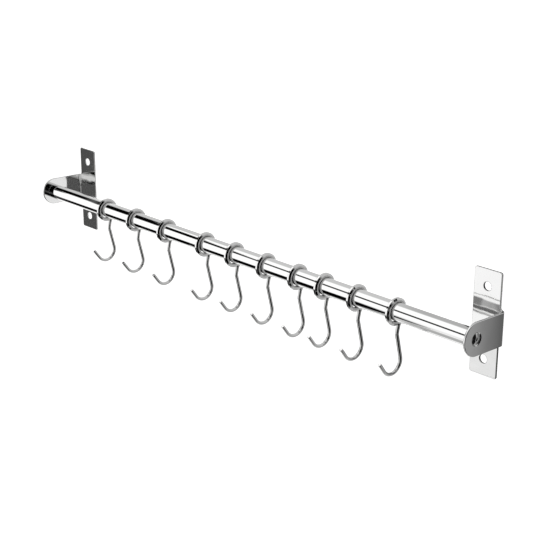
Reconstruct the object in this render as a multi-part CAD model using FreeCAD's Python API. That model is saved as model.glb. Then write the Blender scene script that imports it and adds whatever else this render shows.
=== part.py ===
import FreeCAD, Part
import math
import os

# Kitchen utensil rail: a polished steel tube between two folded wall brackets, with sliding rings
# that each carry a wire hook.
# Frame: X runs along the rail, +Y runs into the wall, +Z is up. The wall plane is Y = 0, and the
# origin lies on it, half way along the rail and level with the tube's axis. All sizes are in mm.

# Rail tube
OVERALL_LENGTH = 610.0      # over the outer faces of the two ears
TUBE_D = 16.0
TUBE_WALL = 1.0
STANDOFF = 36.0             # wall plane to tube axis

# Folded bracket
SHEET = 2.0
PLATE_WIDTH = 28.0
PLATE_HEIGHT = 92.0
PLATE_CORNER_R = 2.2
EAR_OVERHANG = 5.0          # plate's outer edge to the ear's outer face
BEND_R = 2.0                # inside radius of the fold
ROOT_FILLET_R = 2.6         # where the ear's strip leaves the plate's edge
EAR_HEIGHT = 29.2           # its nose is a half round of the same width
WALL_HOLE_D = 7.5
WALL_HOLE_SPACING = 63.0    # upper hole to lower hole
CUT_MARGIN = 5.0            # how far the blanks reach past each other

# Countersunk end screw and the plug that it threads into
COUNTERSINK_D = 11.4        # rim of the countersink in the ear
HEAD_RECESS = 0.7           # flat of the head below the ear's outer face
SCREW_D = 5.0
SCREW_LENGTH = 16.0
SOCKET_ACROSS_FLATS = 3.0
SOCKET_DEPTH = 2.2
PLUG_LENGTH = 18.0

# Sliding ring
RING_OUTER_D = 24.5
RING_BORE_D = 17.1
RING_WIDTH = 3.8
RING_LAND_WIDTH = 2.0       # flat band round the rim
RING_FACE_D = 20.7          # where the flat face turns into the bevel
RING_SIDES = 42             # flats round the ring, which keep ten rings light
RING_HANG_GAP = 0.1         # between the tube's top and the bore above it

# Wire hook, in the plane across the rail
WIRE_D = 3.5
SEAT_ANGLE = 18.9           # weld seat on the rim, from straight down towards the wall
NECK_ANGLE = 11.5           # the neck leans forward as it goes down
NECK_LENGTH = 9.0           # rim to the corner of the kink
KINK_R = 4.5
KINK_STEPS = 2
SHANK_ANGLE = 14.0          # the shank leans back as it goes down
SHANK_LENGTH = 22.4
MOUTH_R = 10.9              # centre line of the mouth's curve
MOUTH_TURN = 157.5
MOUTH_STEPS = 10            # small bends that make up the mouth's curve
ARM_LENGTH = 10.3
TIP_CHAMFER = 0.5
WIRE_SIDES = 16             # flats round the wire, which keep ten hooks light
WELD_GAP = 0.1              # between the wire's cut end and the ring's rim

# Where the rings hang, as shares of half the clear rail, from the left end to the right
RING_PLACES = (-0.662, -0.489, -0.315, -0.110, 0.036, 0.185, 0.327, 0.440, 0.573, 0.723)

EAR_FACE_X = OVERALL_LENGTH / 2
CLEAR_HALF = EAR_FACE_X - SHEET
PLATE_OUTER_X = EAR_FACE_X - EAR_OVERHANG
PLATE_INNER_X = PLATE_OUTER_X - PLATE_WIDTH
HEAD_D = COUNTERSINK_D - 2 * HEAD_RECESS
HEAD_TOP_X = EAR_FACE_X - HEAD_RECESS
HEAD_END_X = EAR_FACE_X - (COUNTERSINK_D - SCREW_D) / 2
RING_Z = -(RING_BORE_D - TUBE_D) / 2 + RING_HANG_GAP
RIM_R = RING_OUTER_D / 2


def front_view(x, z):
    return FreeCAD.Vector(x, 0, z)


def side_view(y, z):
    return FreeCAD.Vector(0, y, z)


def top_view(x, y):
    return FreeCAD.Vector(x, y, 0)


def outline(corners, place):
    """Closed wire through (u, v, radius) corners; a corner with a radius becomes an arc."""
    points = [FreeCAD.Vector(u, v, 0) for u, v, _ in corners]
    edges = []
    ends = []
    for i, (_, _, radius) in enumerate(corners):
        corner = points[i]
        back = (points[i - 1] - corner).normalize()
        ahead = (points[(i + 1) % len(points)] - corner).normalize()
        if radius <= 0:
            ends.append((corner, corner, corner))
            continue
        half = math.acos(max(-1.0, min(1.0, back.dot(ahead)))) / 2
        setback = radius / math.tan(half)
        middle = (back + ahead).normalize() * (radius / math.sin(half) - radius)
        ends.append((corner + back * setback, corner + middle, corner + ahead * setback))
    for i, (start, middle, stop) in enumerate(ends):
        placed = [place(p.x, p.y) for p in (start, middle, stop, ends[(i + 1) % len(ends)][0])]
        if start != stop:
            edges.append(Part.Arc(placed[0], placed[1], placed[2]).toShape())
        edges.append(Part.LineSegment(placed[2], placed[3]).toShape())
    return Part.Wire(edges)


def prism(wire, start, length_vector):
    face = Part.Face(wire)
    face.translate(start)
    return face.extrude(length_vector)


def turned(profile):
    """Solid turned about the tube's axis; the profile's corners are (x, radius, corner radius)."""
    face = Part.Face(outline(profile, front_view))
    solid = face.revolve(FreeCAD.Vector(0, 0, 0), FreeCAD.Vector(1, 0, 0), 360)
    solid.translate(FreeCAD.Vector(0, -STANDOFF, 0))
    return solid


def rod_along_x(diameter, start_x, length):
    base = FreeCAD.Vector(start_x, -STANDOFF, 0)
    return Part.makeCylinder(diameter / 2, length, base, FreeCAD.Vector(1, 0, 0))


def folded_sheet():
    """The L of sheet as seen from above, longer than the bracket in every direction."""
    nose_y = -STANDOFF - EAR_HEIGHT / 2 - CUT_MARGIN
    plate_x = PLATE_INNER_X - CUT_MARGIN
    corners = [
        (plate_x, 0, 0),
        (EAR_FACE_X, 0, BEND_R + SHEET),
        (EAR_FACE_X, nose_y, 0),
        (CLEAR_HALF, nose_y, 0),
        (CLEAR_HALF, -SHEET, BEND_R),
        (plate_x, -SHEET, 0),
    ]
    height = PLATE_HEIGHT + 2 * CUT_MARGIN
    start = FreeCAD.Vector(0, 0, -height / 2)
    return prism(outline(corners, top_view), start, FreeCAD.Vector(0, 0, height))


def front_blank():
    """Blank as seen from the front: the plate, and the ear's narrower strip at its outer edge."""
    top = PLATE_HEIGHT / 2
    strip = EAR_HEIGHT / 2
    end_x = EAR_FACE_X + CUT_MARGIN
    corners = [
        (PLATE_INNER_X, -top, PLATE_CORNER_R),
        (PLATE_OUTER_X, -top, PLATE_CORNER_R),
        (PLATE_OUTER_X, -strip, ROOT_FILLET_R),
        (end_x, -strip, 0),
        (end_x, strip, 0),
        (PLATE_OUTER_X, strip, ROOT_FILLET_R),
        (PLATE_OUTER_X, top, PLATE_CORNER_R),
        (PLATE_INNER_X, top, PLATE_CORNER_R),
    ]
    depth = STANDOFF + EAR_HEIGHT + 2 * CUT_MARGIN
    start = FreeCAD.Vector(0, CUT_MARGIN - depth, 0)
    return prism(outline(corners, front_view), start, FreeCAD.Vector(0, depth, 0))


def side_blank():
    """Blank as seen from the end, which gives the ear its round nose about the tube's axis."""
    top = PLATE_HEIGHT / 2 + CUT_MARGIN
    nose_r = EAR_HEIGHT / 2
    points = [
        side_view(-STANDOFF, -nose_r),
        side_view(-STANDOFF, -top),
        side_view(CUT_MARGIN, -top),
        side_view(CUT_MARGIN, top),
        side_view(-STANDOFF, top),
        side_view(-STANDOFF, nose_r),
    ]
    edges = [Part.LineSegment(a, b).toShape() for a, b in zip(points, points[1:])]
    nose = Part.Arc(points[-1], side_view(-STANDOFF - nose_r, 0), points[0])
    start = FreeCAD.Vector(PLATE_INNER_X - CUT_MARGIN, 0, 0)
    length = FreeCAD.Vector(EAR_FACE_X - PLATE_INNER_X + 2 * CUT_MARGIN, 0, 0)
    return prism(Part.Wire(edges + [nose.toShape()]), start, length)


def wall_holes():
    x = (PLATE_INNER_X + PLATE_OUTER_X) / 2
    for z in (-WALL_HOLE_SPACING / 2, WALL_HOLE_SPACING / 2):
        base = FreeCAD.Vector(x, -SHEET, z)
        yield Part.makeCylinder(WALL_HOLE_D / 2, SHEET, base, FreeCAD.Vector(0, 1, 0))


def countersink():
    """Cone of the countersink, from the ear's outer face down to the screw's shank."""
    depth = EAR_FACE_X - HEAD_END_X
    base = FreeCAD.Vector(EAR_FACE_X, -STANDOFF, 0)
    return Part.makeCone(COUNTERSINK_D / 2, SCREW_D / 2, depth, base, FreeCAD.Vector(-1, 0, 0))


def bracket():
    body = folded_sheet().common(front_blank()).common(side_blank()).removeSplitter()
    for hole in wall_holes():
        body = body.cut(hole)
    return body.cut(countersink())


def rail_tube():
    outer = rod_along_x(TUBE_D, -CLEAR_HALF, 2 * CLEAR_HALF)
    return outer.cut(rod_along_x(TUBE_D - 2 * TUBE_WALL, -CLEAR_HALF, 2 * CLEAR_HALF))


def end_plug():
    """Threaded plug pressed into the tube, just deep enough for the screw's head to clear it."""
    start_x = HEAD_END_X - PLUG_LENGTH
    plug = rod_along_x(TUBE_D - 2 * TUBE_WALL, start_x, PLUG_LENGTH)
    return plug.cut(rod_along_x(SCREW_D, start_x, PLUG_LENGTH))


def end_screw():
    tip_x = HEAD_TOP_X - SCREW_LENGTH
    shank_r = SCREW_D / 2
    profile = [(tip_x, 0, 0), (HEAD_TOP_X, 0, 0), (HEAD_TOP_X, HEAD_D / 2, 0)]
    profile += [(HEAD_END_X, shank_r, 0), (tip_x, shank_r, 0)]
    corner_r = SOCKET_ACROSS_FLATS / math.sqrt(3)
    hexagon = [(y, z, 0) for y, z in regular_polygon(6, corner_r)]
    start = FreeCAD.Vector(HEAD_TOP_X, -STANDOFF, 0)
    socket = prism(outline(hexagon, side_view), start, FreeCAD.Vector(-SOCKET_DEPTH, 0, 0))
    return turned(profile).cut(socket)


def regular_polygon(sides, radius):
    angles = [2 * math.pi * (i + 0.5) / sides for i in range(sides)]
    return [(radius * math.cos(a), radius * math.sin(a)) for a in angles]


def skinned(sections, closed):
    """Solid with flat faces between each section and the next; a section is a list of points."""
    pairs = list(zip(sections, sections[1:]))
    loops = []
    if closed:
        pairs.append((sections[-1], sections[0]))
    else:
        loops += [sections[0], sections[-1]]
    for one, other in pairs:
        for i in range(len(one)):
            loops.append([one[i - 1], one[i], other[i], other[i - 1]])
    faces = [Part.Face(Part.makePolygon(loop + loop[:1])) for loop in loops]
    shell = Part.makeShell(faces)
    shell.sewShape()
    solid = Part.makeSolid(shell)
    if solid.Volume < 0:
        solid.reverse()
    return solid.removeSplitter()


def slide_ring(x):
    """Ring about the rail: flat faces, shallow bevels and a narrow rim."""
    half = RING_WIDTH / 2
    land = RING_LAND_WIDTH / 2
    bore_r = RING_BORE_D / 2
    face_r = RING_FACE_D / 2
    profile = [(-half, bore_r), (half, bore_r), (half, face_r), (land, RIM_R), (-land, RIM_R), (-half, face_r)]
    sections = []
    for y, z in regular_polygon(RING_SIDES, 1.0):
        sections.append([FreeCAD.Vector(x + u, -STANDOFF + r * y, RING_Z + r * z) for u, r in profile])
    return skinned(sections, True)


def wire_path():
    """Corners of the wire's centre line from the rim to the tip, bend by bend, in the side view."""
    seat = math.radians(SEAT_ANGLE)
    heading = -math.radians(NECK_ANGLE)
    place = side_view(math.sin(seat), -math.cos(seat)) * (RIM_R + WELD_GAP)
    corners = [place]
    lean = NECK_ANGLE + SHANK_ANGLE
    bends = [(NECK_LENGTH, lean, KINK_R, KINK_STEPS), (SHANK_LENGTH, -MOUTH_TURN, MOUTH_R, MOUTH_STEPS)]
    trim = KINK_R * math.tan(math.radians(lean) / 2)
    for length, turn, radius, steps in bends:
        step = math.radians(turn) / steps
        reach = radius * math.tan(abs(step) / 2)
        place = place + side_view(math.sin(heading), -math.cos(heading)) * (length - trim)
        for _ in range(steps):
            place = place + side_view(math.sin(heading), -math.cos(heading)) * reach
            corners.append(place)
            heading += step
            place = place + side_view(math.sin(heading), -math.cos(heading)) * reach
    for length in (ARM_LENGTH - TIP_CHAMFER, TIP_CHAMFER):
        place = place + side_view(math.sin(heading), -math.cos(heading)) * length
        corners.append(place)
    return corners


def wire_section(corner, run, cut_normal, radius):
    """The wire's section at one corner of its path, in the plane that halves the bend."""
    across = run.cross(FreeCAD.Vector(1, 0, 0))
    section = []
    for x, offset in regular_polygon(WIRE_SIDES, radius):
        slide = -offset * across.dot(cut_normal) / run.dot(cut_normal)
        section.append(corner + FreeCAD.Vector(x, 0, 0) + across * offset + run * slide)
    return section


def hook_wire():
    """One bent wire hook about the ring's axis at x = 0, its upper end cut along the ring's rim."""
    corners = wire_path()
    runs = [(b - a).normalize() for a, b in zip(corners, corners[1:])]
    cuts = [FreeCAD.Vector(corners[0]).normalize()]
    cuts += [(a + b).normalize() for a, b in zip(runs, runs[1:])]
    cuts.append(runs[-1])
    runs.append(runs[-1])
    radii = [WIRE_D / 2] * (len(corners) - 1) + [WIRE_D / 2 - TIP_CHAMFER]
    sections = [wire_section(*station) for station in zip(corners, runs, cuts, radii)]
    solid = skinned(sections, False)
    solid.translate(FreeCAD.Vector(0, -STANDOFF, RING_Z))
    return solid


def save(name, shape):
    solids = shape.Solids
    if len(solids) != 1 or not solids[0].isValid():
        raise ValueError(name + " isn't one valid solid")
    solids[0].exportStep(os.path.join("parts", name + ".step"))


def build():
    os.makedirs("parts", exist_ok=True)
    save("rail_tube", rail_tube())
    for name, piece in (("bracket", bracket()), ("end_plug", end_plug()), ("end_screw", end_screw())):
        save("right_" + name, piece)
        save("left_" + name, piece.mirror(FreeCAD.Vector(0, 0, 0), FreeCAD.Vector(1, 0, 0)))
    hook = hook_wire()
    for number, share in enumerate(RING_PLACES, 1):
        x = share * CLEAR_HALF
        save("slide_ring_%02d" % number, slide_ring(x))
        placed = hook.copy()
        placed.translate(FreeCAD.Vector(x, 0, 0))
        save("hook_%02d" % number, placed)


build()
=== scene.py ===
import math

import bmesh
import bpy
from mathutils import Matrix, Vector


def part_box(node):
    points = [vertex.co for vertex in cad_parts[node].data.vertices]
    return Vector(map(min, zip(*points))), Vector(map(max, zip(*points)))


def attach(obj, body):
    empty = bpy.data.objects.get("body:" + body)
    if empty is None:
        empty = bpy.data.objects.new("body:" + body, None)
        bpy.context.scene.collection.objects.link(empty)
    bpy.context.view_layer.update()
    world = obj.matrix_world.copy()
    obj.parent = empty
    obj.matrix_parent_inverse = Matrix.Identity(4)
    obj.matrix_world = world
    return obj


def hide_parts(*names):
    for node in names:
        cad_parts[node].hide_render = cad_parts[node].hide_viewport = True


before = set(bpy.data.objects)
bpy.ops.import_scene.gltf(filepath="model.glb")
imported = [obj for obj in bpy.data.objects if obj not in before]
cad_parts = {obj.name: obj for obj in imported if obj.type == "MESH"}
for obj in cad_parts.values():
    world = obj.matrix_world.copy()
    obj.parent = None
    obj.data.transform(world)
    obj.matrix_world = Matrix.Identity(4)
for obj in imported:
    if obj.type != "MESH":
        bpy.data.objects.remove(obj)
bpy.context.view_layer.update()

# Sizes of the frame, in metres
TUBE_Y = -0.036
TUBE_R = 0.008
TUBE_WALL = 0.001
CLEAR_HALF = 0.303
RING_Z = -0.00045
RIM_R = 0.01225
RING_FACE_R = 0.01035
RING_BORE_R = 0.00855
RING_HALF = 0.0019
RING_LAND_HALF = 0.0010
WIRE_R = 0.00175
SEAT_ANGLE = math.radians(18.9)
NECK_ANGLE = math.radians(11.5)
SHANK_ANGLE = math.radians(14.0)
NECK_LENGTH = 0.0090
KINK_R = 0.0045
SHANK_LENGTH = 0.0224
MOUTH_R = 0.0109
MOUTH_TURN = math.radians(157.5)
ARM_LENGTH = 0.0103
HEAD_END_X = 0.3018
HEAD_RIM_X = 0.3044     # where the seat's cone ends and the raised head begins
HEAD_RIM_R = 0.00505
HEAD_CROWN_R = 0.0126   # radius of the raised head
SHANK_R = 0.0025
SCREW_TIP_X = 0.2883
SOCKET_FLATS = 0.0030
SOCKET_DEPTH = 0.0022
EDGE_SOFTNESS = 0.0006
RING_COUNT = 10

# Sides and small roundings of the round pieces
TUBE_SIDES = 160
RING_SIDES = 128
WIRE_SIDES = 28
SCREW_SIDES = 96
TUBE_BORE_EDGE_R = 0.0001
LAND_EDGE_R = 0.00025
RING_BORE_EDGE_R = 0.0003
RING_FACE_EDGE_R = 0.0002
SAME_POINT = 1e-9

# Weld between hook and ring, and the hook's tip
WELD_SINK = 0.0005      # how far the wire starts inside the rim
WELD_SWELL = 0.32       # share by which the bead is thicker than the wire
WELD_LENGTH = 0.0034
WELD_POWER = 1.8
TIP_CHAMFER = 0.0006

# Screw's thread and socket
THREAD_PITCH = 0.0008
THREAD_DEPTH = 0.0005
SOCKET_RIM = 0.64       # socket's rim radius as a share of its width across flats

# Finding the sheet's edges
MERGE_DISTANCE = 1e-6
FLAT_ANGLE = math.radians(1.0)
SHARP_ANGLE = math.radians(35)

# Finish of a ring's flat ends and of its bore; the bore's near-black tone is painted shade
SATIN_TONE = 0.90
SATIN_ROUGH = 0.7
SATIN_METAL = 0.1
BORE_SHADE_TONE = 0.05
BORE_ROUGH = 0.6

# Camera, fitted to the photograph
AZIMUTH = math.radians(48.093)
ELEVATION = math.radians(18.233)
ROLL = math.radians(0.323)
AIM = Vector((0.06163, -0.036, -0.003184))
CAMERA_DISTANCE = 1.14855
LENS = 82.857
SENSOR = 36.0

# Floor
FLOOR_HALF = 14.0
FLOOR_Z = -0.32
FLOOR_LIFT = 0.65       # light added to the floor where the camera sees it

# Directions in the studio
SEAM = -26      # where the turn about the rail starts, in degrees
MIDDLE_X = -0.70


# Mesh making


def link_mesh(name, verts, faces, normals=None):
    """New smooth-shaded mesh object; normals, where given, are the true normal at each vertex."""
    mesh = bpy.data.meshes.new(name)
    mesh.from_pydata([tuple(v) for v in verts], [], faces)
    if normals is None:
        work = bmesh.new()
        work.from_mesh(mesh)
        bmesh.ops.recalc_face_normals(work, faces=work.faces)
        work.to_mesh(mesh)
        work.free()
    mesh.polygons.foreach_set("use_smooth", [True] * len(mesh.polygons))
    mesh.update()
    if normals is not None:
        loops = [tuple(normals[i]) for face in mesh.polygons for i in face.vertices]
        mesh.normals_split_custom_set(loops)
    obj = bpy.data.objects.new(name, mesh)
    bpy.context.scene.collection.objects.link(obj)
    return obj


def rounded(corners, steps=4):
    """Closed profile with its corners rounded, as (point, outward normal) pairs; it runs anticlockwise."""
    out = []
    count = len(corners)
    for i, (x, r, radius) in enumerate(corners):
        here = Vector((x, r))
        back = (Vector(corners[i - 1][:2]) - here).normalized()
        ahead = (Vector(corners[(i + 1) % count][:2]) - here).normalized()
        normal_in = Vector((-back.y, back.x))
        normal_out = Vector((ahead.y, -ahead.x))
        if radius <= 0:
            out.append((here, normal_in))
            out.append((here, normal_out))
            continue
        half = math.acos(max(-1, min(1, back.dot(ahead)))) / 2
        setback = radius / math.tan(half)
        turn = math.pi - 2 * half
        side = 1 if back.cross(ahead) < 0 else -1
        centre = here + back * setback - normal_in * radius * side
        for k in range(steps + 1):
            spin = Matrix.Rotation(side * turn * k / steps, 2)
            normal = spin @ normal_in
            out.append((centre + normal * radius * side, normal))
    return out


def lathe(name, corners, sides, centre_z=0.0, x=0.0, steps=4):
    """Solid of revolution about a line along X; corners are (x, r, corner radius)."""
    profile = rounded(corners, steps)
    verts, normals, faces = [], [], []
    for i in range(sides):
        angle = 2 * math.pi * i / sides
        c, s = math.cos(angle), math.sin(angle)
        for point, normal in profile:
            verts.append((x + point.x, TUBE_Y + point.y * c, centre_z + point.y * s))
            normals.append(Vector((normal.x, normal.y * c, normal.y * s)))
    count = len(profile)
    for i in range(sides):
        j = (i + 1) % sides
        for k in range(count):
            m = (k + 1) % count
            a, b = profile[k][0], profile[m][0]
            if (a - b).length < SAME_POINT:
                continue
            faces.append((i * count + k, i * count + m, j * count + m, j * count + k))
    return link_mesh(name, verts, faces, normals)


def material(name):
    mat = bpy.data.materials.new(name)
    mat.use_nodes = True
    nodes = mat.node_tree.nodes
    return mat, nodes, mat.node_tree.links, nodes["Principled BSDF"]


def bore_mask(nodes, links, coords):
    """1 on the bore of a ring, which is left rough and painted near-black: painted shade inside the ring."""
    shift = nodes.new("ShaderNodeVectorMath")
    shift.operation = "MULTIPLY_ADD"
    shift.inputs[1].default_value = (0, 1, 1)
    shift.inputs[2].default_value = (0, -TUBE_Y, -RING_Z)
    links.new(coords.outputs["Object"], shift.inputs[0])
    radius = nodes.new("ShaderNodeVectorMath")
    radius.operation = "LENGTH"
    links.new(shift.outputs["Vector"], radius.inputs[0])
    mask = nodes.new("ShaderNodeMath")
    mask.operation = "LESS_THAN"
    mask.inputs[1].default_value = RING_BORE_R + 0.0002
    links.new(radius.outputs["Value"], mask.inputs[0])
    return mask.outputs[0]


def blend(nodes, links, mask, first, second):
    """Number that goes from the first to the second as the mask goes from 0 to 1."""
    mix = nodes.new("ShaderNodeMix")
    mix.data_type = "FLOAT"
    links.new(mask, mix.inputs["Factor"])
    links.new(first, mix.inputs["A"])
    mix.inputs["B"].default_value = second
    return mix.outputs["Result"]


def flat_end_mask(nodes, links, coords):
    """1 on the flat ends of a turned piece, which face along X and keep the finish of the tool."""
    parts = nodes.new("ShaderNodeSeparateXYZ")
    links.new(coords.outputs["Normal"], parts.inputs["Vector"])
    size = nodes.new("ShaderNodeMath")
    size.operation = "ABSOLUTE"
    links.new(parts.outputs["X"], size.inputs[0])
    mask = nodes.new("ShaderNodeMapRange")
    mask.inputs["From Min"].default_value = 0.97
    mask.inputs["From Max"].default_value = 0.995
    links.new(size.outputs[0], mask.inputs["Value"])
    return mask.outputs["Result"]


def polished_steel(name, tone, rough, grain=(1.0, 1.0, 1.0), grain_scale=900.0, bump=0.02, stain=0.02,
                   wave_scale=70.0, wave_depth=0.0, turned=False):
    """Polished stainless steel: fine grain, faint cloudiness, and slow waves where sheet isn't quite flat."""
    mat, nodes, links, shader = material(name)
    shader.inputs["Metallic"].default_value = 1.0
    coords = nodes.new("ShaderNodeTexCoord")
    stretch = nodes.new("ShaderNodeMapping")
    stretch.inputs["Scale"].default_value = grain
    links.new(coords.outputs["Object"], stretch.inputs["Vector"])
    lines = nodes.new("ShaderNodeTexNoise")
    lines.inputs["Scale"].default_value = grain_scale
    lines.inputs["Detail"].default_value = 4.0
    links.new(stretch.outputs["Vector"], lines.inputs["Vector"])
    cloud = nodes.new("ShaderNodeTexNoise")
    cloud.inputs["Scale"].default_value = 45.0
    cloud.inputs["Detail"].default_value = 3.0
    links.new(coords.outputs["Object"], cloud.inputs["Vector"])
    colour = nodes.new("ShaderNodeMapRange")
    colour.inputs["To Min"].default_value = tone - stain
    colour.inputs["To Max"].default_value = tone + stain
    links.new(cloud.outputs["Fac"], colour.inputs["Value"])
    shade = colour.outputs["Result"]
    if turned:
        ends = flat_end_mask(nodes, links, coords)
        bore = bore_mask(nodes, links, coords)
        shade = blend(nodes, links, ends, shade, SATIN_TONE)
        # the bore is painted near-black as painted shade inside the ring
        shade = blend(nodes, links, bore, shade, BORE_SHADE_TONE)
    mixed = nodes.new("ShaderNodeCombineColor")
    for channel, gain in (("Red", 1.0), ("Green", 1.0), ("Blue", 0.996)):
        scaled = nodes.new("ShaderNodeMath")
        scaled.operation = "MULTIPLY"
        scaled.inputs[1].default_value = gain
        links.new(shade, scaled.inputs[0])
        links.new(scaled.outputs[0], mixed.inputs[channel])
    links.new(mixed.outputs["Color"], shader.inputs["Base Color"])
    gloss = nodes.new("ShaderNodeMapRange")
    gloss.inputs["To Min"].default_value = rough * 0.6
    gloss.inputs["To Max"].default_value = rough * 1.5
    links.new(lines.outputs["Fac"], gloss.inputs["Value"])
    finish = gloss.outputs["Result"]
    if turned:
        finish = blend(nodes, links, ends, finish, SATIN_ROUGH)
        finish = blend(nodes, links, bore, finish, BORE_ROUGH)
        full = nodes.new("ShaderNodeValue")
        full.outputs[0].default_value = 1.0
        metal = blend(nodes, links, ends, full.outputs[0], SATIN_METAL)
        links.new(blend(nodes, links, bore, metal, SATIN_METAL), shader.inputs["Metallic"])
    links.new(finish, shader.inputs["Roughness"])
    relief = nodes.new("ShaderNodeBump")
    relief.inputs["Strength"].default_value = bump
    relief.inputs["Distance"].default_value = 0.00005
    links.new(lines.outputs["Fac"], relief.inputs["Height"])
    if wave_depth > 0:
        swell = nodes.new("ShaderNodeTexNoise")
        swell.inputs["Scale"].default_value = wave_scale
        swell.inputs["Detail"].default_value = 1.0
        links.new(coords.outputs["Object"], swell.inputs["Vector"])
        waves = nodes.new("ShaderNodeBump")
        waves.inputs["Strength"].default_value = 1.0
        waves.inputs["Distance"].default_value = wave_depth
        links.new(swell.outputs["Fac"], waves.inputs["Height"])
        links.new(waves.outputs["Normal"], relief.inputs["Normal"])
    links.new(relief.outputs["Normal"], shader.inputs["Normal"])
    return mat


TUBE_STEEL = polished_steel("tube_steel", 0.90, 0.035, grain=(0.05, 1.0, 1.0), bump=0.015)
PLATE_STEEL = polished_steel("plate_steel", 0.88, 0.06, grain=(1.0, 1.0, 0.06), bump=0.03, wave_scale=38.0,
                             wave_depth=0.0006)
RING_STEEL = polished_steel("ring_steel", 0.88, 0.05, grain_scale=1400.0, bump=0.02, turned=True)
WIRE_STEEL = polished_steel("wire_steel", 0.90, 0.04, grain_scale=1600.0, bump=0.02, wave_scale=260.0,
                            wave_depth=0.00002)
SCREW_STEEL = polished_steel("screw_steel", 0.82, 0.12, grain_scale=1800.0, bump=0.05)
PLUG_STEEL = polished_steel("plug_steel", 0.55, 0.35, grain_scale=700.0, bump=0.2)


def dress(obj, mat, body, slot_name, *nodes):
    obj.data.materials.clear()
    obj.data.materials.append(mat)
    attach(obj, body)
    if nodes:
        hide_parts(*nodes)
    return obj


# Rail, rings and hooks


def make_tube():
    inner = TUBE_R - TUBE_WALL
    corners = [(-CLEAR_HALF, inner, TUBE_BORE_EDGE_R), (CLEAR_HALF, inner, TUBE_BORE_EDGE_R)]
    corners += [(CLEAR_HALF, TUBE_R, LAND_EDGE_R), (-CLEAR_HALF, TUBE_R, LAND_EDGE_R)]
    tube = lathe("rail_tube_skin", corners, TUBE_SIDES)
    dress(tube, TUBE_STEEL, "rail", "tube_steel", "rail_tube")


def make_ring(number, x):
    corners = [
        (-RING_HALF, RING_BORE_R, RING_BORE_EDGE_R),
        (RING_HALF, RING_BORE_R, RING_BORE_EDGE_R),
        (RING_HALF, RING_FACE_R, RING_FACE_EDGE_R),
        (RING_LAND_HALF, RIM_R, LAND_EDGE_R),
        (-RING_LAND_HALF, RIM_R, LAND_EDGE_R),
        (-RING_HALF, RING_FACE_R, RING_FACE_EDGE_R),
    ]
    ring = lathe("ring_skin_%02d" % number, corners, RING_SIDES, RING_Z, x)
    dress(ring, RING_STEEL, "ring_%02d" % number, "ring_steel", "slide_ring_%02d" % number)


def wire_line():
    """Points and radii along the wire's centre line in the (y, z) plane about the ring's centre."""
    points = []
    radii = []

    def put(p, r):
        points.append(Vector(p))
        radii.append(r)

    def unit(a):
        return Vector((math.sin(a), -math.cos(a)))

    heading = -NECK_ANGLE
    place = Vector((math.sin(SEAT_ANGLE), -math.cos(SEAT_ANGLE))) * RIM_R
    start = place - unit(heading) * WELD_SINK
    put(start, WIRE_R * (1 + WELD_SWELL))
    for t in (0.0005, 0.0009, 0.0013, 0.0017, 0.0022, 0.0028, 0.0036):
        swell = WELD_SWELL * max(0.0, 1 - t / WELD_LENGTH) ** WELD_POWER
        put(start + unit(heading) * t, WIRE_R * (1 + swell))
    lean = NECK_ANGLE + SHANK_ANGLE
    trim = KINK_R * math.tan(lean / 2)
    place = place + unit(heading) * (NECK_LENGTH - trim)
    put(place, WIRE_R)
    for turn, radius, steps, run in ((lean, KINK_R, 8, SHANK_LENGTH - trim), (-MOUTH_TURN, MOUTH_R, 44, 0)):
        side = Vector((math.cos(heading), math.sin(heading))) * (1 if turn > 0 else -1)
        centre = place + side * radius
        for k in range(1, steps + 1):
            spin = Matrix.Rotation(turn * k / steps, 2)
            put(centre + spin @ (-side * radius), WIRE_R)
        heading += turn
        place = points[-1]
        if run:
            place = place + unit(heading) * run
            put(place, WIRE_R)
    place = place + unit(heading) * (ARM_LENGTH - TIP_CHAMFER)
    put(place, WIRE_R)
    for k in range(1, 7):
        a = math.pi / 2 * k / 6
        put(place + unit(heading) * TIP_CHAMFER * math.sin(a), WIRE_R - TIP_CHAMFER * (1 - math.cos(a)))
    return points, radii


def make_hook(number, x):
    points, radii = wire_line()
    sides = WIRE_SIDES
    verts, faces = [], []
    for i, point in enumerate(points):
        before = points[max(i - 1, 0)]
        after = points[min(i + 1, len(points) - 1)]
        run = (after - before).normalized()
        across = Vector((-run.y, run.x))
        for k in range(sides):
            a = 2 * math.pi * k / sides
            offset = across * (radii[i] * math.sin(a))
            y = TUBE_Y + point.x + offset.x
            z = RING_Z + point.y + offset.y
            verts.append((x + radii[i] * math.cos(a), y, z))
    for i in range(len(points) - 1):
        for k in range(sides):
            m = (k + 1) % sides
            faces.append((i * sides + k, i * sides + m, (i + 1) * sides + m, (i + 1) * sides + k))
    faces.append(tuple(range(sides - 1, -1, -1)))
    last = (len(points) - 1) * sides
    faces.append(tuple(range(last, last + sides)))
    hook = link_mesh("hook_skin_%02d" % number, verts, faces)
    hook.data.polygons[-1].use_smooth = False
    hook.data.polygons[-2].use_smooth = False
    dress(hook, WIRE_STEEL, "hook_%02d" % number, "hook_steel", "hook_%02d" % number)


# Brackets and screws


def make_bracket(side):
    """The folded bracket with its sheet edges softened and its flats kept truly flat."""
    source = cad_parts[side + "_bracket"].data
    faces = [tuple(face.vertices) for face in source.polygons]
    skin = link_mesh(side + "_bracket_skin", [v.co for v in source.vertices], faces)
    work = bmesh.new()
    work.from_mesh(skin.data)
    bmesh.ops.remove_doubles(work, verts=work.verts, dist=MERGE_DISTANCE)
    bmesh.ops.dissolve_limit(work, angle_limit=FLAT_ANGLE, verts=work.verts, edges=work.edges)
    bmesh.ops.recalc_face_normals(work, faces=work.faces)
    work.to_mesh(skin.data)
    work.free()
    soften = skin.modifiers.new("soften", "BEVEL")
    soften.width = EDGE_SOFTNESS
    soften.segments = 3
    soften.use_clamp_overlap = False
    soften.limit_method = "ANGLE"
    soften.angle_limit = SHARP_ANGLE
    flats = skin.modifiers.new("flats", "WEIGHTED_NORMAL")
    flats.weight = 100
    dress(skin, PLATE_STEEL, "rail", "bracket_steel", side + "_bracket")


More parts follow.
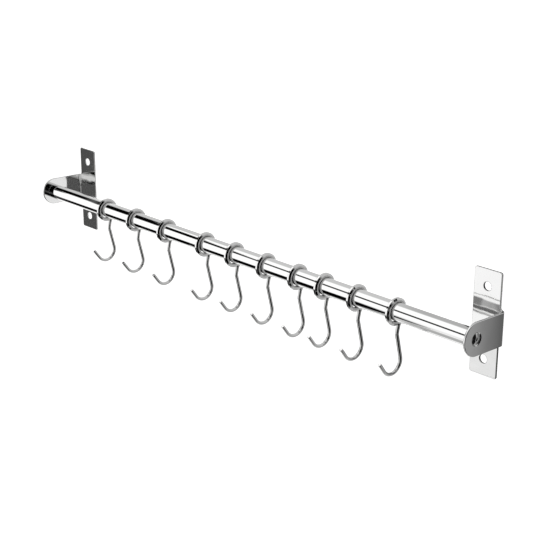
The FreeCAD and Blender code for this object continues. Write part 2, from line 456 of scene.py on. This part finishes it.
def make_screw(side, sign):
    """Countersunk screw with a raised head and a hexagon socket; the shank below it is threaded."""
    sides = SCREW_SIDES
    rings = []

    def circle(x, r):
        rings.append([(x, r * math.cos(2 * math.pi * k / sides), r * math.sin(2 * math.pi * k / sides))
                      for k in range(sides)])

    def hexagon(x, scale):
        row = []
        for k in range(sides):
            a = 2 * math.pi * k / sides
            fold = (a + math.pi / 6) % (math.pi / 3) - math.pi / 6
            r = scale * SOCKET_FLATS / 2 / math.cos(fold)
            row.append((x, r * math.cos(a), r * math.sin(a)))
        rings.append(row)

    x = SCREW_TIP_X
    circle(x, SHANK_R * 0.05)
    circle(x, SHANK_R - 0.0006)
    while x < HEAD_END_X - 0.0012:
        circle(x, SHANK_R - THREAD_DEPTH)
        circle(x + THREAD_PITCH * 0.45, SHANK_R - THREAD_DEPTH / 10)
        circle(x + THREAD_PITCH * 0.55, SHANK_R - THREAD_DEPTH / 10)
        x += THREAD_PITCH
    circle(HEAD_END_X - 0.0008, SHANK_R - 0.0003)
    circle(HEAD_END_X, SHANK_R - 0.0001)
    circle(HEAD_RIM_X - 0.00015, HEAD_RIM_R - 0.00015)
    crown_x = HEAD_RIM_X - math.sqrt(HEAD_CROWN_R ** 2 - HEAD_RIM_R ** 2)
    steps = 12
    for k in range(steps + 1):
        r = HEAD_RIM_R + (SOCKET_FLATS * SOCKET_RIM - HEAD_RIM_R) * k / steps
        circle(crown_x + math.sqrt(HEAD_CROWN_R ** 2 - r ** 2), r)
    top_x = crown_x + math.sqrt(HEAD_CROWN_R ** 2 - (SOCKET_FLATS * SOCKET_RIM) ** 2)
    hexagon(top_x, 1.08)
    hexagon(top_x - 0.0002, 1.0)
    hexagon(top_x - SOCKET_DEPTH, 1.0)
    circle(top_x - SOCKET_DEPTH - 0.0003, SOCKET_FLATS * 0.25)
    circle(top_x - SOCKET_DEPTH - 0.0005, SOCKET_FLATS * 0.02)
    verts = [(sign * p[0], TUBE_Y + p[1], p[2]) for row in rings for p in row]
    faces = []
    for i in range(len(rings) - 1):
        for k in range(sides):
            m = (k + 1) % sides
            faces.append((i * sides + k, i * sides + m, (i + 1) * sides + m, (i + 1) * sides + k))
    last = (len(rings) - 1) * sides
    faces.append(tuple(range(sides)))
    faces.append(tuple(range(last, last + sides)))
    screw = link_mesh(side + "_screw_skin", verts, faces)
    screw.data.set_sharp_from_angle(angle=SHARP_ANGLE)
    dress(screw, SCREW_STEEL, "rail", "screw_steel", side + "_end_screw")


make_tube()
for number in range(1, RING_COUNT + 1):
    low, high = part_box("slide_ring_%02d" % number)
    make_ring(number, (low.x + high.x) / 2)
    make_hook(number, (low.x + high.x) / 2)
for side, sign in (("left", -1), ("right", 1)):
    make_bracket(side)
    make_screw(side, sign)
    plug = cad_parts[side + "_end_plug"]
    plug.data.materials.clear()
    plug.data.materials.append(PLUG_STEEL)


# Floor, light and camera


def make_floor():
    corners = [(x * FLOOR_HALF, y * FLOOR_HALF, FLOOR_Z) for x, y in ((-1, -1), (1, -1), (1, 1), (-1, 1))]
    floor = link_mesh("floor", corners, [(0, 1, 2, 3)])
    mat, nodes, links, shader = material("floor_paper")
    shader.inputs["Base Color"].default_value = (0.93, 0.93, 0.93, 1)
    shader.inputs["Roughness"].default_value = 0.9
    grain = nodes.new("ShaderNodeTexNoise")
    grain.inputs["Scale"].default_value = 300.0
    relief = nodes.new("ShaderNodeBump")
    relief.inputs["Strength"].default_value = 0.02
    links.new(grain.outputs["Fac"], relief.inputs["Height"])
    links.new(relief.outputs["Normal"], shader.inputs["Normal"])
    glow = nodes.new("ShaderNodeEmission")
    path = nodes.new("ShaderNodeLightPath")
    lift = nodes.new("ShaderNodeMath")
    lift.operation = "MULTIPLY"
    lift.inputs[1].default_value = FLOOR_LIFT
    links.new(path.outputs["Is Camera Ray"], lift.inputs[0])
    links.new(lift.outputs[0], glow.inputs["Strength"])
    both = nodes.new("ShaderNodeAddShader")
    links.new(shader.outputs["BSDF"], both.inputs[0])
    links.new(glow.outputs["Emission"], both.inputs[1])
    links.new(both.outputs["Shader"], nodes["Material Output"].inputs["Surface"])
    floor.data.materials.append(mat)
    floor.visible_glossy = False


class Studio:
    """World light made of a plain base with soft-edged bright and dark cards around the object."""

    def __init__(self, base):
        world = bpy.data.worlds.new("studio")
        bpy.context.scene.world = world
        world.use_nodes = True
        self.nodes = world.node_tree.nodes
        self.links = world.node_tree.links
        self.nodes.clear()
        coords = self.nodes.new("ShaderNodeTexCoord")
        self.ray = coords.outputs["Generated"]
        value = self.nodes.new("ShaderNodeValue")
        value.outputs[0].default_value = base
        self.level = value.outputs[0]
        self.x, y, z = self.dot((1, 0, 0)), self.dot((0, 1, 0)), self.dot((0, 0, 1))
        about_rail = self.math("MULTIPLY", self.math("ARCTAN2", z, y), 180 / math.pi)
        self.rail_turn = self.math("MODULO", self.math("ADD", about_rail, 720 - SEAM), 360)
        turn = self.math("ARCTAN2", self.x, self.math("MULTIPLY", y, -1))
        self.compass = self.math("MULTIPLY", turn, 180 / math.pi)
        self.height = self.math("MULTIPLY", self.math("ARCSINE", z), 180 / math.pi)

    def math(self, operation, *inputs):
        node = self.nodes.new("ShaderNodeMath")
        node.operation = operation
        for i, value in enumerate(inputs):
            if isinstance(value, (int, float)):
                node.inputs[i].default_value = value
            else:
                self.links.new(value, node.inputs[i])
        return node.outputs[0]

    def dot(self, axis):
        node = self.nodes.new("ShaderNodeVectorMath")
        node.operation = "DOT_PRODUCT"
        self.links.new(self.ray, node.inputs[0])
        node.inputs[1].default_value = tuple(axis)
        return node.outputs["Value"]

    def inside(self, value, low, high, soft):
        """1 between low and high, with soft edges."""
        node = self.nodes.new("ShaderNodeMapRange")
        node.interpolation_type = "SMOOTHSTEP"
        half = (high - low) / 2
        distance = self.math("ABSOLUTE", self.math("SUBTRACT", value, (low + high) / 2))
        self.links.new(distance, node.inputs["Value"])
        node.inputs["From Min"].default_value = half - soft / 2
        node.inputs["From Max"].default_value = half + soft / 2
        node.inputs["To Min"].default_value = 1.0
        node.inputs["To Max"].default_value = 0.0
        return node.outputs["Result"]

    def lay(self, mask, level):
        """Covers what is there with a card of that level where the mask is 1."""
        mix = self.nodes.new("ShaderNodeMix")
        mix.data_type = "FLOAT"
        self.links.new(mask, mix.inputs["Factor"])
        self.links.new(self.level, mix.inputs["A"])
        mix.inputs["B"].default_value = level
        self.level = mix.outputs["Result"]

    def strip(self, low, high, level, soft, x_low=-1.2, x_high=-0.5, x_soft=0.06):
        """A strip along the rail, between two angles about it: 0 is the wall side, 90 is up."""
        across = self.inside(self.rail_turn, low - SEAM, high - SEAM, soft)
        along = self.inside(self.x, x_low, x_high, x_soft)
        self.lay(self.math("MULTIPLY", across, along), level)

    def wedge(self, low, high, level, soft, low_lean, high_lean, x_low, x_high, x_soft):
        """A strip whose edges lean by so many degrees as x goes up by 1; low and high hold at MIDDLE_X."""
        off = self.math("SUBTRACT", self.x, MIDDLE_X)
        low_edge = self.math("MULTIPLY_ADD", off, low_lean, low - SEAM)
        high_edge = self.math("MULTIPLY_ADD", off, high_lean, high - SEAM)
        above = self.math("SUBTRACT", self.rail_turn, low_edge)
        below = self.math("SUBTRACT", high_edge, self.rail_turn)
        depth = self.math("MINIMUM", above, below)
        node = self.nodes.new("ShaderNodeMapRange")
        node.interpolation_type = "SMOOTHSTEP"
        self.links.new(depth, node.inputs["Value"])
        node.inputs["From Min"].default_value = -soft / 2
        node.inputs["From Max"].default_value = soft / 2
        along = self.inside(self.x, x_low, x_high, x_soft)
        self.lay(self.math("MULTIPLY", node.outputs["Result"], along), level)

    def fan(self, low, high, level, soft, bottom, top, tilt_soft=20):
        """A card between two compass angles and two heights: 0 is out into the room, 90 is to the right."""
        across = self.inside(self.compass, low, high, soft)
        upright = self.inside(self.height, bottom, top, tilt_soft)
        self.lay(self.math("MULTIPLY", across, upright), level)

    def finish(self):
        path = self.nodes.new("ShaderNodeLightPath")
        mix = self.nodes.new("ShaderNodeMix")
        mix.data_type = "FLOAT"
        self.links.new(path.outputs["Is Camera Ray"], mix.inputs["Factor"])
        self.links.new(self.level, mix.inputs["A"])
        mix.inputs["B"].default_value = 1.0
        light = self.nodes.new("ShaderNodeBackground")
        light.inputs["Color"].default_value = (1, 1, 1, 1)
        self.links.new(mix.outputs["Result"], light.inputs["Strength"])
        out = self.nodes.new("ShaderNodeOutputWorld")
        self.links.new(light.outputs["Background"], out.inputs["Surface"])


def make_light():
    """Angles in degrees, then level, then softness. The cards are laid in order, each over the last."""
    studio = Studio(0.75)
    # The room's right-hand half: a dark opening with soft sides, and gray walls round it
    studio.fan(-24, 170, 0.46, 50, -95, 55, 40)
    studio.fan(104, 176, 0.55, 40, -6, 70, 20)
    studio.fan(104, 176, 0.45, 40, -26, 0, 8)
    studio.fan(104, 176, 0.32, 40, -44, -24, 8)
    studio.fan(24, 96, 0.0, 16, -24, 0, 8)
    studio.fan(24, 106, 0.0, 14, -6, 46, 14)
    studio.fan(14, 100, 0.0, 14, -66, -22, 8)
    studio.fan(50, 66, 0.10, 10, -19, -10, 5)
    studio.fan(-16, 14, 0.12, 10, -23, -16, 4)
    # The left: what the rail and the rings' rims show
    studio.strip(-40, 400, 1.12, 1)
    studio.strip(-40, -4, 0.95, 14)
    studio.strip(-4, 82, 0.62, 18)
    studio.strip(-4, 78, 0.47, 18, x_low=-0.625, x_soft=0.03)
    studio.strip(-10, 90, 0.24, 18, x_low=-0.579, x_soft=0.004)
    # The upper black line
    studio.strip(78, 127, 0.0, 10, x_high=-0.804, x_soft=0.010)
    studio.strip(78, 135, 0.0, 10, x_low=-0.806, x_high=-0.769, x_soft=0.008)
    studio.wedge(128, 145, 0.0, 5, 150, 150, -0.772, -0.5, 0.012)
    studio.wedge(121, 146, 0.0, 5, 150, 150, -0.772, -0.725, 0.012)
    studio.wedge(111, 147, 0.0, 5, 150, 150, -0.772, -0.745, 0.012)
    # The lower one
    studio.strip(236, 277, 0.24, 18, x_high=-0.785, x_soft=0.02)
    studio.strip(244, 270, 0.30, 18, x_low=-0.79, x_high=-0.63, x_soft=0.02)
    studio.strip(226, 277, 0.45, 26, x_low=-0.625, x_soft=0.02)
    studio.wedge(207, 261, 0.0, 6, -130, -50, -0.90, -0.75, 0.010)
    studio.wedge(211, 257, 0.0, 6, -130, -50, -0.76, -0.655, 0.010)
    studio.wedge(209, 290, 0.0, 5, -70, -730, -0.66, -0.55, 0.010)
    # What the right plate shows, a little darker further down
    studio.fan(-43, -31, 1.04, 6, -30, -12, 4)
    studio.fan(-43, -31, 0.87, 6, -30, -21, 3)
    # The far left
    studio.strip(-40, 400, 0.07, 1, x_low=-2.0, x_high=-0.88, x_soft=0.05)
    studio.finish()


def make_reflector(name, corners, level, fade=None):
    """A small studio card close to the rail, seen only in the steel.
    A fade is (x at its near end, x at its far end, level at the far end)."""
    card = link_mesh(name, corners, [(0, 1, 2, 3)])
    mat, nodes, links, shader = material(name + "_paper")
    shader.inputs["Base Color"].default_value = (0, 0, 0, 1)
    shader.inputs["Roughness"].default_value = 1.0
    shader.inputs["Emission Color"].default_value = (1, 1, 1, 1)
    shader.inputs["Emission Strength"].default_value = level
    if fade:
        coords = nodes.new("ShaderNodeTexCoord")
        parts = nodes.new("ShaderNodeSeparateXYZ")
        links.new(coords.outputs["Object"], parts.inputs["Vector"])
        ramp = nodes.new("ShaderNodeMapRange")
        ramp.inputs["From Min"].default_value = fade[0]
        ramp.inputs["From Max"].default_value = fade[1]
        ramp.inputs["To Min"].default_value = level
        ramp.inputs["To Max"].default_value = fade[2]
        links.new(parts.outputs["X"], ramp.inputs["Value"])
        links.new(ramp.outputs["Result"], shader.inputs["Emission Strength"])
    card.data.materials.append(mat)
    card.visible_camera = False
    card.visible_diffuse = False
    card.visible_transmission = False
    card.visible_shadow = False


def upright_card(x_low, x_high, y, z_low, z_high):
    return [(x_low, y, z_low), (x_high, y, z_low), (x_high, y, z_high), (x_low, y, z_high)]


def make_reflectors():
    x = -0.450
    flag = [(x, y, z) for y, z in ((-0.085, -0.11), (-0.130, -0.11), (-0.130, 0.10), (-0.085, 0.10))]
    make_reflector("left_flag", flag, 0.075)
    make_reflector("left_holes_card", upright_card(-0.304, -0.280, 0.004, -0.06, 0.06), 1.3)
    make_reflector("left_edge_card", upright_card(-0.274, -0.264, 0.004, -0.06, 0.06), 1.2)
    make_reflector("left_card", upright_card(-0.262, -0.206, 0.004, -0.06, 0.02), 0.85)
    make_reflector("right_holes_flag", upright_card(0.262, 0.303, 0.004, -0.06, 0.06), 0.01)
    make_reflector("rail_back_flag", upright_card(0.195, 0.262, 0.005, -0.07, -0.008), 0.15)
    ear_fade = (0.316, 0.346, 0.31)
    make_reflector("ear_flag", upright_card(0.306, 0.352, 0.010, -0.0225, 0.010), 0.12, ear_fade)
    make_reflector("ear_flag_low", upright_card(0.318, 0.352, 0.010, -0.0425, -0.0225), 0.12, ear_fade)
    make_reflector("foot_flag", upright_card(0.300, 0.318, 0.010, -0.090, -0.0225), 0.02)
    x = 0.340
    flag = [(x, y, z) for y, z in ((-0.036, -0.060), (-0.008, -0.060), (-0.008, 0.020), (-0.036, 0.020))]
    make_reflector("head_flag", flag, 0.0)


def make_camera():
    level = math.cos(ELEVATION)
    back = Vector((math.sin(AZIMUTH) * level, -math.cos(AZIMUTH) * level, math.sin(ELEVATION)))
    right = Vector((math.cos(AZIMUTH), math.sin(AZIMUTH), 0))
    up = back.cross(right)
    tilted_right = right * math.cos(ROLL) + up * math.sin(ROLL)
    tilted_up = up * math.cos(ROLL) - right * math.sin(ROLL)
    data = bpy.data.cameras.new("camera")
    data.sensor_width = SENSOR
    data.lens = LENS
    data.clip_start = 0.05
    data.clip_end = 30.0
    camera = bpy.data.objects.new("camera", data)
    bpy.context.scene.collection.objects.link(camera)
    turn = Matrix((tilted_right, tilted_up, back)).transposed().to_4x4()
    camera.matrix_world = Matrix.Translation(AIM + back * CAMERA_DISTANCE) @ turn
    bpy.context.scene.camera = camera


make_floor()
make_light()
make_reflectors()
make_camera()
bpy.context.scene.view_settings.view_transform = "Standard"

bpy.context.view_layer.update()
